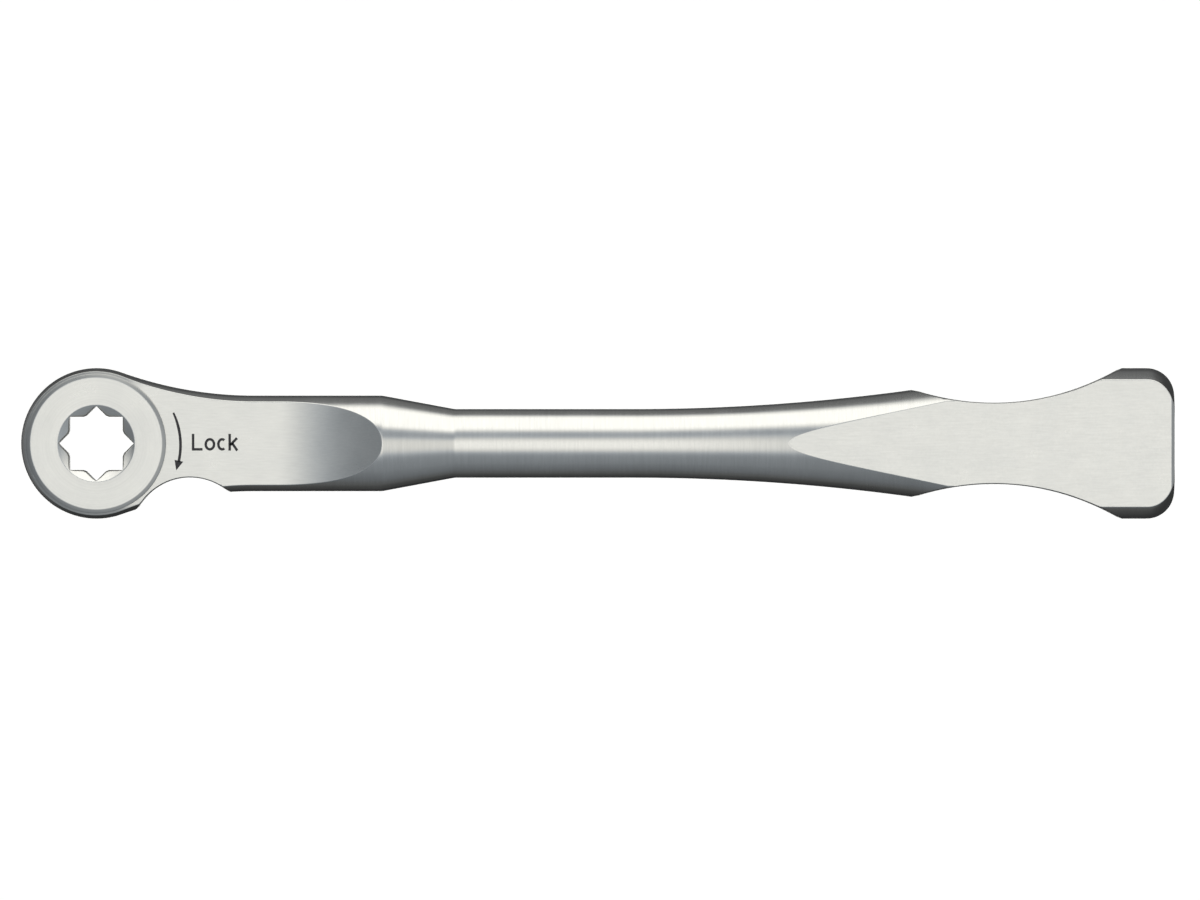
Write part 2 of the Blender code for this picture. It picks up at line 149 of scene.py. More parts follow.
# Places where an edge crosses the bar or starts, with the gap between rings there: the head's flat,
# cone, rod, start of the paddle's flat and end chamfer, then the scallop, the waist and the flare's end
RING_GAPS = [
    (HEAD_X - math.sqrt(BAR_RADIUS**2 - NECK_HALF**2), 0.02), (CONE_X, 0.03), (ROD_X, 0.04),
    (14.6, 0.06), (END_X - END_CHAMFER, 0.015),
    (-34.55, 0.05), (-32.4, 0.1), (-29.6, 0.1), (-27.86, 0.05),
    (20.4, 0.06), (22.9, 0.08), (37.5, 0.08), (39.87, 0.05), (FLARE_X + FLARE_LENGTH, 0.1),
]
WIDEST_GAP = 0.55

# Places that follow
TO_BLEND = math.sqrt((BAR_RADIUS + BLEND_RADIUS) ** 2 - (NECK_RADIUS + BLEND_RADIUS) ** 2)
BLEND_X = HEAD_X + TO_BLEND
TOUCH_X = HEAD_X + BAR_RADIUS * TO_BLEND / (BAR_RADIUS + BLEND_RADIUS)
NECK_RISE = NECK_RADIUS - NECK_HALF
RUNOUT_X = CONE_X - math.sqrt(2.0 * RUNOUT_RADIUS * NECK_RISE - NECK_RISE**2)
FLARE_RISE = BAR_RADIUS - ROD_RADIUS
FLARE_RADIUS = (FLARE_LENGTH**2 + FLARE_RISE**2) / (2.0 * FLARE_RISE)
FLARE_END_X = FLARE_X + FLARE_LENGTH
CORNER_X = END_X - CORNER_RADIUS


# Shape of the handle as distances outside its surfaces

def turned_once(x, r):
    """Distance outside the turned profile, with its edges sharp."""
    cone_slope = (ROD_RADIUS - NECK_RADIUS) / (ROD_X - CONE_X)
    cone_radius = NECK_RADIUS + cone_slope * (x - CONE_X)
    side = r - (BAR_RADIUS - CORNER_RADIUS)
    corner = np.hypot(x - CORNER_X, side) - CORNER_RADIUS
    pieces = [
        (x < TOUCH_X, np.hypot(x - HEAD_X, r) - BAR_RADIUS),
        (x < BLEND_X, BLEND_RADIUS - np.hypot(x - BLEND_X, r - NECK_RADIUS - BLEND_RADIUS)),
        (x < CONE_X, r - NECK_RADIUS),
        (x < ROD_X, (r - cone_radius) / math.hypot(1.0, cone_slope)),
        (x < FLARE_X, r - ROD_RADIUS),
        (x < FLARE_END_X, FLARE_RADIUS - np.hypot(x - FLARE_X, r - ROD_RADIUS - FLARE_RADIUS)),
        (x < CORNER_X, r - BAR_RADIUS),
    ]
    return np.select([p[0] for p in pieces], [p[1] for p in pieces], np.where(side > 0, corner, x - END_X))


def turned(x, r):
    """Distance outside the turned profile, its edges slightly rounded along the bar."""
    reach = TURNED_BREAK * np.clip(x - BLEND_X + 1.0, 0, 1) * np.clip((CORNER_X - x) / 0.5, 0, 1)
    return sum(turned_once(x + reach * o, r) for o in (-1.0, -0.6, -0.2, 0.2, 0.6, 1.0)) / 6.0


def soft_max(a, b, k):
    """Larger of two distances, with the edge between them rounded over k."""
    k = np.maximum(k, 1e-6)
    return np.maximum(a, b) + np.maximum(k - np.abs(a - b), 0.0) ** 2 / (4.0 * k)


def flats(x, z):
    """Distance outside the milled flats, their run-out and the end chamfer."""
    high = np.abs(z)
    arc = RUNOUT_RADIUS - np.hypot(x - RUNOUT_X, high - NECK_HALF - RUNOUT_RADIUS)
    neck = np.where(x < RUNOUT_X, high - NECK_HALF, arc)
    chamfer = (high - PADDLE_HALF + x - END_X + END_CHAMFER) / math.sqrt(2.0)
    paddle = soft_max(high - PADDLE_HALF, chamfer, CHAMFER_BREAK)
    return np.where(x < FLARE_X - 5.0, neck, paddle)


def dish(x, y, z):
    """Distance outside the shallow cone round the wheel, which runs out towards the neck."""
    turn = np.degrees(np.abs(np.arctan2(y, x - HEAD_X)))
    share = np.clip((turn - DISH_FADE[0]) / (DISH_FADE[1] - DISH_FADE[0]), 0.0, 1.0)
    slope = math.tan(math.radians(DISH_SLOPE)) * share**2 * (3.0 - 2.0 * share)
    beyond = np.maximum(np.hypot(x - HEAD_X, y) - DISH_RADIUS, 0.0)
    return (np.abs(z) - NECK_HALF + slope * beyond) * math.cos(math.radians(DISH_SLOPE))


def milled(x, y, z):
    """Distance outside all that is milled or turned flat on the front and back."""
    near_head = np.hypot(x - HEAD_X, y) < BAR_RADIUS + 0.5
    return np.where(near_head, np.maximum(flats(x, z), dish(x, y, z)), flats(x, z))


def walls(x, y):
    """Distance outside the side walls that the waist and the scallop leave."""
    waist = WAIST_RADIUS - np.hypot(x - WAIST_X, np.abs(y) - WAIST_HALF - WAIST_RADIUS)
    scallop = SCALLOP_RADIUS - np.hypot(x - SCALLOP_X, y - SCALLOP_Y)
    return np.maximum(waist, scallop)


def parts(p):
    """Distances outside the turned, flat, walled and end surfaces at points."""
    x, y, z = p
    return turned(x, np.hypot(y, z)), milled(x, y, z), walls(x, y), x - END_X


def slopes(fields, p):
    """Unit gradients of several distance fields at points."""
    step = 0.001
    out = None
    for axis in range(3):
        ahead = p.copy()
        ahead[axis] += step
        behind = p.copy()
        behind[axis] -= step
        change = [a - b for a, b in zip(fields(ahead), fields(behind))]
        out = out or [np.zeros_like(p) for _ in change]
        for n, c in enumerate(change):
            out[n][axis] = c
    return [n / np.maximum(np.linalg.norm(n, axis=0), 1e-12) for n in out]


def break_sizes(p):
    """Rounding of each pair of surfaces at points, from the angle between them."""
    turn, flat, wall, end = slopes(parts, p)
    t, f, w, _ = parts(p)
    top = np.where(t > f, turn, flat)
    most = np.where(np.maximum(t, f) > w, top, wall)
    pairs = ((turn, flat), (top, wall), (most, end))
    by_head = np.clip((BLEND_X - 6.0 - p[0]) / 4.0, 0.0, 1.0)
    sizes = (EDGE_BREAK + (HEAD_EDGE_BREAK - EDGE_BREAK) * by_head, EDGE_BREAK, EDGE_BREAK)
    return [size * np.linalg.norm(a - b, axis=0) for size, (a, b) in zip(sizes, pairs)]


def outside(p, breaks):
    """Distance outside the whole handle with its edges broken."""
    t, f, w, e = parts(p)
    top = soft_max(t, f, breaks[0])
    steep = math.radians(WALL_BEVEL_ANGLE)
    bevel = math.sin(steep) * (w + WALL_BEVEL) + math.cos(steep) * top
    return soft_max(soft_max(soft_max(top, w, breaks[1] * 0.3), bevel, 0.01), e, breaks[2])


def surface_normals(p):
    """Outward directions of the handle's surface at points near it."""
    breaks = break_sizes(p)
    return slopes(lambda q: [outside(q, breaks)], p)[0]


def ring_point(x, r, angle):
    """Point at a place along the bar, a radius and an angle from +Y towards +Z."""
    return np.array([x + 0.0 * r, r * np.cos(angle), r * np.sin(angle)])


def first_crossing(test, low, high):
    """Value where a rising test passes zero, by halving."""
    for _ in range(HALVINGS):
        middle = (low + high) / 2
        beyond = test(middle) > 1e-7
        high = np.where(beyond, middle, high)
        low = np.where(beyond, low, middle)
    return (low + high) / 2


# Loft of the handle

def turned_radius(x):
    """Radius of the turned blank at a place along the bar."""
    found = first_crossing(lambda r: turned(np.full(1, x), r), np.zeros(1), np.full(1, PAST_RADIUS))
    return float(found[0])


def stations():
    """Places of the rings along X, close together where an edge crosses the bar."""
    places = []
    x = HEAD_X - BAR_RADIUS
    while x < END_X - EDGE_BREAK:
        gap = min(WIDEST_GAP, min(size + 0.16 * abs(x - place) for place, size in RING_GAPS))
        if x < TOUCH_X:
            radius = turned_radius(x)
            turn = math.atan2(radius, HEAD_X - x) + min(gap, 0.25) / BAR_RADIUS
            x = HEAD_X - BAR_RADIUS * math.cos(turn)
        elif x > CORNER_X:
            turn = math.asin(min(1.0, (x - CORNER_X) / CORNER_RADIUS)) + min(gap, 0.12) / CORNER_RADIUS
            x = CORNER_X + CORNER_RADIUS * math.sin(min(turn, math.pi / 2))
        else:
            x += gap
        places.append(x)
    places = [x for x in places if x < END_X - EDGE_BREAK]
    places += [END_X - EDGE_BREAK * share for share in (1.0, 0.8, 0.6, 0.42, 0.27, 0.15, 0.07, 0.02)]
    return np.array(places)


def quarter(radius, height, width):
    """Angles of one quarter of a ring, gathered where flat, round and wall meet."""
    reach = min(FINE_ZONE / radius, MOST_FINE_TURN)
    to_flat = math.asin(min(1.0, height / radius))
    to_wall = math.acos(min(1.0, width / radius))
    if to_wall > to_flat:
        to_flat = to_wall = math.atan2(height, width)
    to_flat = min(to_flat, math.pi / 2 - 2.0 * reach)
    to_wall = max(to_wall, 2.0 * reach)
    middle = (to_flat + to_wall) / 2
    half = max((to_flat - to_wall) / 2, 1.1 * reach)
    to_wall, to_flat = middle - half, middle + half
    stops = [0.0, to_wall - reach, to_wall + reach, to_flat - reach, to_flat + reach, math.pi / 2]
    counts = [6, 8, 10, 8, 7]
    angles = []
    for start, end, count in zip(stops, stops[1:], counts):
        angles += list(np.linspace(start, end, count, endpoint=False))
    return np.array(angles)


def ring_angles(x):
    """Angles of a whole ring from +Y towards +Z."""
    radius = turned_radius(x)
    place, low = np.full(1, x), np.zeros(1)
    rise = first_crossing(
        lambda a: milled(place, radius * np.cos(a), radius * np.sin(a)), low, np.full(1, math.pi / 2)
    )
    height = radius * math.sin(float(rise[0]))
    sides = [
        float(first_crossing(lambda y: walls(place, side * y), low, np.full(1, PAST_RADIUS + 1.0))[0])
        for side in (1.0, -1.0)
    ]
    right, left = (quarter(radius, height, width) for width in sides)
    top = np.array([math.pi / 2])
    upper = np.concatenate([right, top, math.pi - left[::-1]])
    lower = np.concatenate([math.pi + left[1:], 3.0 * top, 2.0 * math.pi - right[:0:-1]])
    return np.concatenate([upper, lower])


def build_handle_mesh():
    """Vertices in millimetres about the bar's axis, and faces."""
    places = stations()
    angles = np.array([ring_angles(x) for x in places])
    x = np.repeat(places[:, None], angles.shape[1], axis=1)
    near, far = np.zeros_like(x), np.full_like(x, PAST_RADIUS)
    rough = first_crossing(lambda r: np.max(parts(ring_point(x, r, angles)), axis=0), near, far)
    breaks = break_sizes(ring_point(x, rough, angles))
    radius = first_crossing(lambda r: outside(ring_point(x, r, angles), breaks), near, rough + 0.01)

    # End face, as rings drawn in towards the axis
    rings = [ring_point(x[n], radius[n], angles[n]) for n in range(len(places))]
    last, last_angles = radius[-1], angles[-1]
    for share in (0.985, 0.8, 0.55, 0.3, 0.1):
        rings.append(ring_point(np.full_like(last, END_X), last * share, last_angles))

    count = angles.shape[1]
    points = np.concatenate([ring.T for ring in rings])
    points = np.vstack([points, [[HEAD_X - BAR_RADIUS, 0, 0], [END_X, 0, 0]]])
    pole, centre = len(points) - 2, len(points) - 1
    n = np.arange(count)
    after = (n + 1) % count
    faces = [(pole, b, a) for a, b in zip(n.tolist(), after.tolist())]
    for ring in range(len(rings) - 1):
        low, high = ring * count, (ring + 1) * count
        corners = (low + n, low + after, high + after, high + n)
        faces += list(zip(*[corner.tolist() for corner in corners]))
    base = (len(rings) - 1) * count
    faces += [(base + a, base + b, centre) for a, b in zip(n.tolist(), after.tolist())]
    return points, faces


def polar(radius, degrees, centre=(0.0, 0.0)):
    """XY point at a radius and an angle about a centre."""
    angle = math.radians(degrees)
    return (centre[0] + radius * math.cos(angle), centre[1] + radius * math.sin(angle))


def prism(name, outline, low, high):
    """Cutting tool from an XY outline, in millimetres about the bar's axis."""
    bm = bmesh.new()
    face = bm.faces.new([bm.verts.new((x * MM, y * MM, low * MM + AXIS_HEIGHT * MM)) for x, y in outline])
    raised = bmesh.ops.extrude_face_region(bm, geom=[face])["geom"]
    tops = [v for v in raised if isinstance(v, bmesh.types.BMVert)]
    bmesh.ops.translate(bm, verts=tops, vec=(0, 0, (high - low) * MM))
    bmesh.ops.recalc_face_normals(bm, faces=bm.faces)
    return finish_tool(name, bm)


def finish_tool(name, bm):
    """Object in the scene from a bmesh, which is used up."""
    mesh = bpy.data.meshes.new(name)
    bm.to_mesh(mesh)
    bm.free()
    tool = bpy.data.objects.new(name, mesh)
    bpy.context.scene.collection.objects.link(tool)
    return tool


def circle(radius, steps, centre):
    """Outline of a round hole."""
    return [polar(radius, 360.0 * n / steps, centre) for n in range(steps)]


def room_tools():
    """The wheel's bore, the pawl's pocket, the spring's hole and the pin's hole, as in the CAD."""
    centre = (HEAD_X, 0.0)
    pivot = polar(PIVOT_REACH, PIVOT_TURN, centre)
    swing = math.radians(PAWL_SWING)

    def swung(point):
        """A point of the pawl when it has swung back."""
        dx, dy = point[0] - pivot[0], point[1] - pivot[1]
        return (
            pivot[0] + dx * math.cos(swing) - dy * math.sin(swing),
            pivot[1] + dx * math.sin(swing) + dy * math.cos(swing),
        )

    heel = swung(polar(HEEL_REACH, HEEL_TURN, centre))
    seat_low = swung((SEAT_X, SPRING_Y - SEAT_HALF))
    seat_high = swung((SEAT_X, SPRING_Y + SEAT_HALF))
    far_side = max(seat_low[0], seat_high[0]) + SEAT_GAP
    pocket = [
        polar(MOUTH_RADIUS, MOUTH_TURNS[0], centre),
        (heel[0] + SEAT_GAP / 2, heel[1] - SEAT_GAP),
        (far_side, seat_low[1] - SEAT_GAP / 2),
        (far_side, pivot[1] - KNUCKLE_ROOM),
    ]
    pocket += [polar(KNUCKLE_ROOM, turn, pivot) for turn in np.linspace(-75.0, 90.0, 15)]
    pocket.append(polar(MOUTH_RADIUS, MOUTH_TURNS[1], centre))

    spring = bmesh.new()
    radius = SPRING_ROOM_RADIUS * MM
    bmesh.ops.create_cone(
        spring, cap_ends=True, segments=48, radius1=radius, radius2=radius, depth=SPRING_ROOM_LENGTH * MM
    )
    for vert in spring.verts:
        x, y, z = vert.co
        vert.co = (z + (SEAT_X + SPRING_ROOM_LENGTH / 2) * MM, y + SPRING_Y * MM, x + AXIS_HEIGHT * MM)
    bmesh.ops.recalc_face_normals(spring, faces=spring.faces)
    return [
        prism("tool_bore", circle(BORE_RADIUS, 192, centre), -PAST_ALL, PAST_ALL),
        prism("tool_pocket", pocket, -POCKET_HALF, POCKET_HALF),
        finish_tool("tool_spring", spring),
        prism("tool_pin", circle(PIN_ROOM_RADIUS, 48, pivot), -PAST_ALL, PIN_ROOM_TOP),
    ]


def combine(piece, tools, material_mode="INDEX"):
    """Exact Booleans of several tools on a piece, applied."""
    for tool, operation in tools:
        modifier = piece.modifiers.new(tool.name, "BOOLEAN")
        modifier.object = tool
        modifier.operation = operation
        modifier.solver = "EXACT"
        modifier.material_mode = material_mode
    bpy.context.view_layer.update()
    result = bpy.data.meshes.new_from_object(piece.evaluated_get(bpy.context.evaluated_depsgraph_get()))
    piece.modifiers.clear()
    piece.data = result
    for tool, _ in tools:
        bpy.data.objects.remove(tool, do_unlink=True)


def about_axis(items, name):
    """Places of a mesh's vertices or faces, as rows of X, Y and Z in millimetres about the bar's axis."""
    values = np.zeros(3 * len(items))
    items.foreach_get(name, values)
    return values.reshape(-1, 3).T / MM - np.array([[0.0], [0.0], [AXIS_HEIGHT]])


def set_finishes(mesh, room_finish):
    """Finish of each face from the surface that it lies on. Tells which faces are in a room."""
    slots = np.zeros(len(mesh.polygons), dtype=np.int32)
    mesh.polygons.foreach_get("material_index", slots)
    in_room = slots == [material.name for material in mesh.materials].index(room_finish.name)
    turn, flat, wall, end = parts(about_axis(mesh.polygons, "center"))
    kind = np.argmax(np.array([np.maximum(turn, end - 1e-4), flat, wall]), axis=0)
    mesh.polygons.foreach_set("material_index", np.where(in_room, slots, kind).astype(np.int32))
    return in_room


def set_normals(mesh, in_room):
    """Exact normals of the distance outside, and each face's own normal in the rooms."""
    smooth = surface_normals(about_axis(mesh.vertices, "co")).T
    corner_vertex = np.zeros(len(mesh.loops), dtype=np.int32)
    mesh.loops.foreach_get("vertex_index", corner_vertex)
    sizes = np.zeros(len(mesh.polygons), dtype=np.int32)
    mesh.polygons.foreach_get("loop_total", sizes)
    face_of = np.repeat(np.arange(len(mesh.polygons)), sizes)
    flat = np.zeros(3 * len(mesh.polygons))
    mesh.polygons.foreach_get("normal", flat)
    flat = flat.reshape(-1, 3)
    normals = np.where(in_room[face_of][:, None], flat[face_of], smooth[corner_vertex])
    mesh.normals_split_custom_set(normals.tolist())


def add_handle(outer_finishes, room_finish):
    """Fine handle in place of the CAD's wrench_body. The outer finishes are for round, flat and wall."""
    points, faces = build_handle_mesh()
    mesh = bpy.data.meshes.new("handle_body")
    mesh.from_pydata((points * MM + np.array([0.0, 0.0, AXIS_HEIGHT * MM])).tolist(), [], faces)
    for finish in (*outer_finishes, room_finish):
        mesh.materials.append(finish)
    mesh.update()
    body = bpy.data.objects.new("handle_body", mesh)
    bpy.context.scene.collection.objects.link(body)
    tools = room_tools()
    for tool in tools:
        tool.data.materials.append(room_finish)
    combine(body, [(tool, "DIFFERENCE") for tool in tools], "TRANSFER")
    body.data.shade_smooth()
    set_normals(body.data, set_finishes(body.data, room_finish))
    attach(body, "handle")
    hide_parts("wrench_body")


# Steels

def new_material(name):
    """Material with nodes, its tree and its shader."""
    material = bpy.data.materials.new(name)
    material.use_nodes = True
    return material, material.node_tree, material.node_tree.nodes["Principled BSDF"]


def link(tree, out, into):
    """Connect an output to an input."""
    tree.links.new(out, into)


def math_node(tree, operation, *values):
    """Result of a sum or function of numbers and outputs."""
    node = tree.nodes.new("ShaderNodeMath")
    node.operation = operation
    for n, value in enumerate(values):
        if isinstance(value, (int, float)):
            node.inputs[n].default_value = value
        else:
            link(tree, value, node.inputs[n])
    return node.outputs[0]


def split_axes(tree, vector):
    """The X, Y and Z outputs of a vector."""
    split = tree.nodes.new("ShaderNodeSeparateXYZ")
    link(tree, vector, split.inputs["Vector"])
    return [split.outputs[axis] for axis in "XYZ"]


def mix(tree, factor, first, second, blend="MIX"):
    """Mixture of two colours, each a number, a colour or an output."""
    node = tree.nodes.new("ShaderNodeMixRGB")
    node.blend_type = blend
    for socket, value in zip(node.inputs, (factor, first, second)):
        if isinstance(value, (tuple, float)):
            socket.default_value = value
        else:
            link(tree, value, socket)
    return node.outputs["Color"]


def grain(tree, coordinates, scale, detail=2.0):
    """Noise stretched by a scale per axis, in features per metre."""
    mapping = tree.nodes.new("ShaderNodeMapping")
    mapping.inputs["Scale"].default_value = scale
    link(tree, coordinates, mapping.inputs["Vector"])
    noise = tree.nodes.new("ShaderNodeTexNoise")
    noise.inputs["Scale"].default_value = 1.0
    noise.inputs["Detail"].default_value = detail
    link(tree, mapping.outputs["Vector"], noise.inputs["Vector"])
    return noise.outputs["Fac"]


def spread(tree, value, low, high, span=(0.3, 0.7)):
    """A value whose span is spread between two numbers, and held at its ends."""
    node = tree.nodes.new("ShaderNodeMapRange")
    node.inputs["From Min"].default_value = span[0]
    node.inputs["From Max"].default_value = span[1]
    node.inputs["To Min"].default_value = low
    node.inputs["To Max"].default_value = high
    link(tree, value, node.inputs["Value"])
    return node.outputs["Result"]


def round_coordinates(tree, coordinates):
    """Radius and height about the wheel's axis, so that lines run round it."""
    x, y, z = split_axes(tree, coordinates)
    across = math_node(tree, "SUBTRACT", x, HEAD_X * MM)
    squares = [math_node(tree, "POWER", value, 2.0) for value in (across, y)]
    join = tree.nodes.new("ShaderNodeCombineXYZ")
    link(tree, math_node(tree, "SQRT", math_node(tree, "ADD", *squares)), join.inputs["X"])
    link(tree, y, join.inputs["Y"])
    link(tree, z, join.inputs["Z"])
    return join.outputs["Vector"]


def cone_painted_shade(tree, coordinates):
    """Painted shade on the cone round the wheel: the share of the flats' colour left there, which fades out
    towards the neck.
    """
    x, y, _ = split_axes(tree, coordinates)
    ahead = math_node(tree, "SUBTRACT", x, HEAD_X * MM)
    turn = math_node(tree, "ARCTAN2", math_node(tree, "ABSOLUTE", y), ahead)
    return spread(tree, turn, 1.0, PAINTED_SHADE_SHARE, [math.radians(angle) for angle in DISH_FADE])


def rim_painted_shade(tree, coordinates):
    """Painted shade on the wheel's sloping rim: the share of the wheel's colour left there."""
    radius = split_axes(tree, round_coordinates(tree, coordinates))[0]
    return spread(tree, radius, 1.0, PAINTED_SHADE_SHARE, (FACE_RADIUS * MM, (FACE_RADIUS + RIM_SHADE_WIDTH) * MM))


def steel(name, colour, roughness, lines, depth, about_wheel=False, vary=0.04, tone=None):
    """Steel with fine tool lines in one direction, cloudy wear and slight colour change. A tone, where given,
    is painted shade that scales the colour down by its share.
    """
    material, tree, shader = new_material(name)
    shader.inputs["Metallic"].default_value = 1.0
    coordinates = tree.nodes.new("ShaderNodeTexCoord").outputs["Object"]
    along = round_coordinates(tree, coordinates) if about_wheel else coordinates

    fine = grain(tree, along, lines, 3.0)
    cloud = grain(tree, coordinates, (CLOUD_SCALE,) * 3, 4.0)
    speck = grain(tree, coordinates, (FINE_SCALE,) * 3, 1.0)

    darker, paler = ((*[c * (1.0 + change) for c in colour], 1.0) for change in (-vary, vary))
    shares = [math_node(tree, "MULTIPLY", value, share) for value, share in ((fine, 0.6), (cloud, 0.4))]
    patches = spread(tree, math_node(tree, "ADD", *shares), 0.0, 1.0, (0.35, 0.65))
    base = mix(tree, patches, darker, paler)
    # Painted shade: where a tone is given, the colour is multiplied by its share
    if tone:
        painted_shade_scale = tree.nodes.new("ShaderNodeVectorMath")
        painted_shade_scale.operation = "SCALE"
        link(tree, base, painted_shade_scale.inputs[0])
        link(tree, tone(tree, coordinates), painted_shade_scale.inputs["Scale"])
        base = painted_shade_scale.outputs["Vector"]
    link(tree, base, shader.inputs["Base Color"])

    clouded = spread(tree, cloud, roughness - 0.025, roughness + 0.025)
    link(tree, math_node(tree, "ADD", clouded, spread(tree, speck, -0.02, 0.02)), shader.inputs["Roughness"])

    bump = tree.nodes.new("ShaderNodeBump")
    bump.inputs["Strength"].default_value = 1.0
    bump.inputs["Distance"].default_value = depth
    height = math_node(tree, "ADD", fine, math_node(tree, "MULTIPLY", speck, 0.35))
    link(tree, height, bump.inputs["Height"])
    link(tree, bump.outputs["Normal"], shader.inputs["Normal"])
    return material


# Colours, the features per metre of clouds and of fine grain, and the painted shade on the cone round the
# wheel and on the wheel's rim: the share of a colour left there, and the width in millimetres over which it
# sets in on the rim
SATIN = (0.62, 0.615, 0.575)
GROUND = (0.675, 0.67, 0.625)
CLOUD_SCALE = 450.0
FINE_SCALE = 9000.0
PAINTED_SHADE_SHARE = 0.66
RIM_SHADE_WIDTH = 0.06

turned_steel = steel("turned_steel", SATIN, 0.19, (FINE_SCALE, 500.0, 500.0), 0.5e-6)
# The flats' steel carries painted shade on the cone round the wheel
ground_flat = steel("ground_flat", GROUND, 0.31, (900.0, FINE_SCALE, FINE_SCALE), 0.7e-6, tone=cone_painted_shade)
milled_wall = steel("milled_wall", SATIN, 0.30, (6000.0, 6000.0, 500.0), 0.8e-6)
bored_steel = steel("bored_steel", (0.50, 0.495, 0.48), 0.40, (600.0, 600.0, FINE_SCALE), 0.8e-6)
# The wheel's steel carries painted shade on its sloping rim
wheel_steel = steel(
    "wheel_steel", GROUND, 0.31, (FINE_SCALE, 250.0, FINE_SCALE), 0.8e-6, about_wheel=True, tone=rim_painted_shade
)
hard_steel = steel("hard_steel", (0.42, 0.415, 0.41), 0.30, (6000.0, 900.0, 6000.0), 0.6e-6, vary=0.08)
drawn_steel = steel("drawn_steel", (0.50, 0.50, 0.49), 0.22, (900.0, 900.0, 6000.0), 0.5e-6)

add_handle((turned_steel, ground_flat, milled_wall), bored_steel)


# Wheel and rear flange

def softened(profile, size, steps=6):
    """Closed profile with its corners rounded by short curves. A corner's third number is its own size."""
    count = len(profile)
    points = []
    for n, (radius, height, *own) in enumerate(profile):
        corner = (radius, height)
        ends = []
        for other in (profile[n - 1][:2], profile[(n + 1) % count][:2]):
            length = math.dist(corner, other)
            share = min(own[0] if own else size, 0.4 * length) / length
            ends.append([c + (o - c) * share for c, o in zip(corner, other)])
        for step in range(steps + 1):
            t = step / steps
            shares = ((1 - t) ** 2, 2 * t * (1 - t), t**2)
            points.append(tuple(np.dot(shares, (ends[0], corner, ends[1])).tolist()))
    return points


def lathe(name, profile_at, angles):
    """Ring about the wheel's axis, from its closed (radius, height) profile at each angle."""
    bm = bmesh.new()
    columns = []
    for angle in angles:
        column = []
        for radius, height in profile_at(angle):
            x, y = polar(radius, angle, (HEAD_X, 0.0))
            column.append(bm.verts.new((x * MM, y * MM, (height + AXIS_HEIGHT) * MM)))
        columns.append(column)
    for n, low in enumerate(columns):
        high = columns[(n + 1) % len(columns)]
        for k in range(len(low)):
            after = (k + 1) % len(low)
            bm.faces.new([low[k], low[after], high[after], high[k]])
    bmesh.ops.recalc_face_normals(bm, faces=bm.faces)
    return finish_tool(name, bm)


def smooth_by_area(piece, angle=26.0):
    """Smooth shading between faces that meet at less than an angle, ruled by the larger face."""
    bm = bmesh.new()
    bm.from_mesh(piece.data)
    bmesh.ops.remove_doubles(bm, verts=bm.verts, dist=1e-7)
    for edge in bm.edges:
        edge.smooth = len(edge.link_faces) == 2 and edge.calc_face_angle(0.0) < math.radians(angle)
    for face in bm.faces:
        face.smooth = True
    bm.to_mesh(piece.data)
    bm.free()
    modifier = piece.modifiers.new("even_normals", "WEIGHTED_NORMAL")
    modifier.mode = "FACE_AREA"
    modifier.weight = 100
    modifier.keep_sharp = True


def tooth_outline():
    """Saw teeth, as in the CAD."""
    pitch = 360.0 / TEETH
    outline = []
    for n in range(TEETH):
        start = TOOTH_FACE_ANGLE + n * pitch
        outline.append(polar(TOOTH_ROOT, start, (HEAD_X, 0.0)))
        outline.append(polar(TOOTH_TIP, start + 0.9 * pitch, (HEAD_X, 0.0)))
        outline.append(polar(TOOTH_TIP, start + pitch, (HEAD_X, 0.0)))
    return outline


def star_side(turn):
    """Reach of a straight side of the star, at an angle from the point that it starts from."""
    turn, corner = math.radians(turn), math.radians(22.5)
    spread_out = STAR_POINT * math.sin(turn) + STAR_CORNER * math.sin(corner - turn)
    return STAR_POINT * STAR_CORNER * math.sin(corner) / spread_out


def core_profile(angle):
    """Section of the wheel: star socket trimmed by its pilot hole, countersinks, hub, groove and flange."""
    reach = max(PILOT_RADIUS, star_side(abs((angle + 22.5) % 45.0 - 22.5)))
    edge = FLANGE_TOP - (SINK_RADIUS - reach) * math.tan(math.radians(SINK_SLOPE))
    return softened([
        (reach, -edge, SOCKET_BREAK), (SINK_RADIUS, -FLANGE_TOP, SINK_BREAK), (HUB_RADIUS, -FLANGE_TOP),
        (HUB_RADIUS, GROOVE_LOW), (GROOVE_RADIUS, GROOVE_LOW),
        (GROOVE_RADIUS, GROOVE_HIGH), (HUB_RADIUS, GROOVE_HIGH),
        (HUB_RADIUS, TEETH_HALF), (LAND_RADIUS, TEETH_HALF),
        (LAND_RADIUS, FLANGE_FOOT), (FLANGE_RADIUS, FLANGE_FOOT),
        (FLANGE_RADIUS, FLANGE_TOP - RIM_DROP), (FACE_RADIUS, FLANGE_TOP),
        (SINK_RADIUS, FLANGE_TOP, SINK_BREAK), (reach, edge, SOCKET_BREAK),
    ], WHEEL_BREAK)


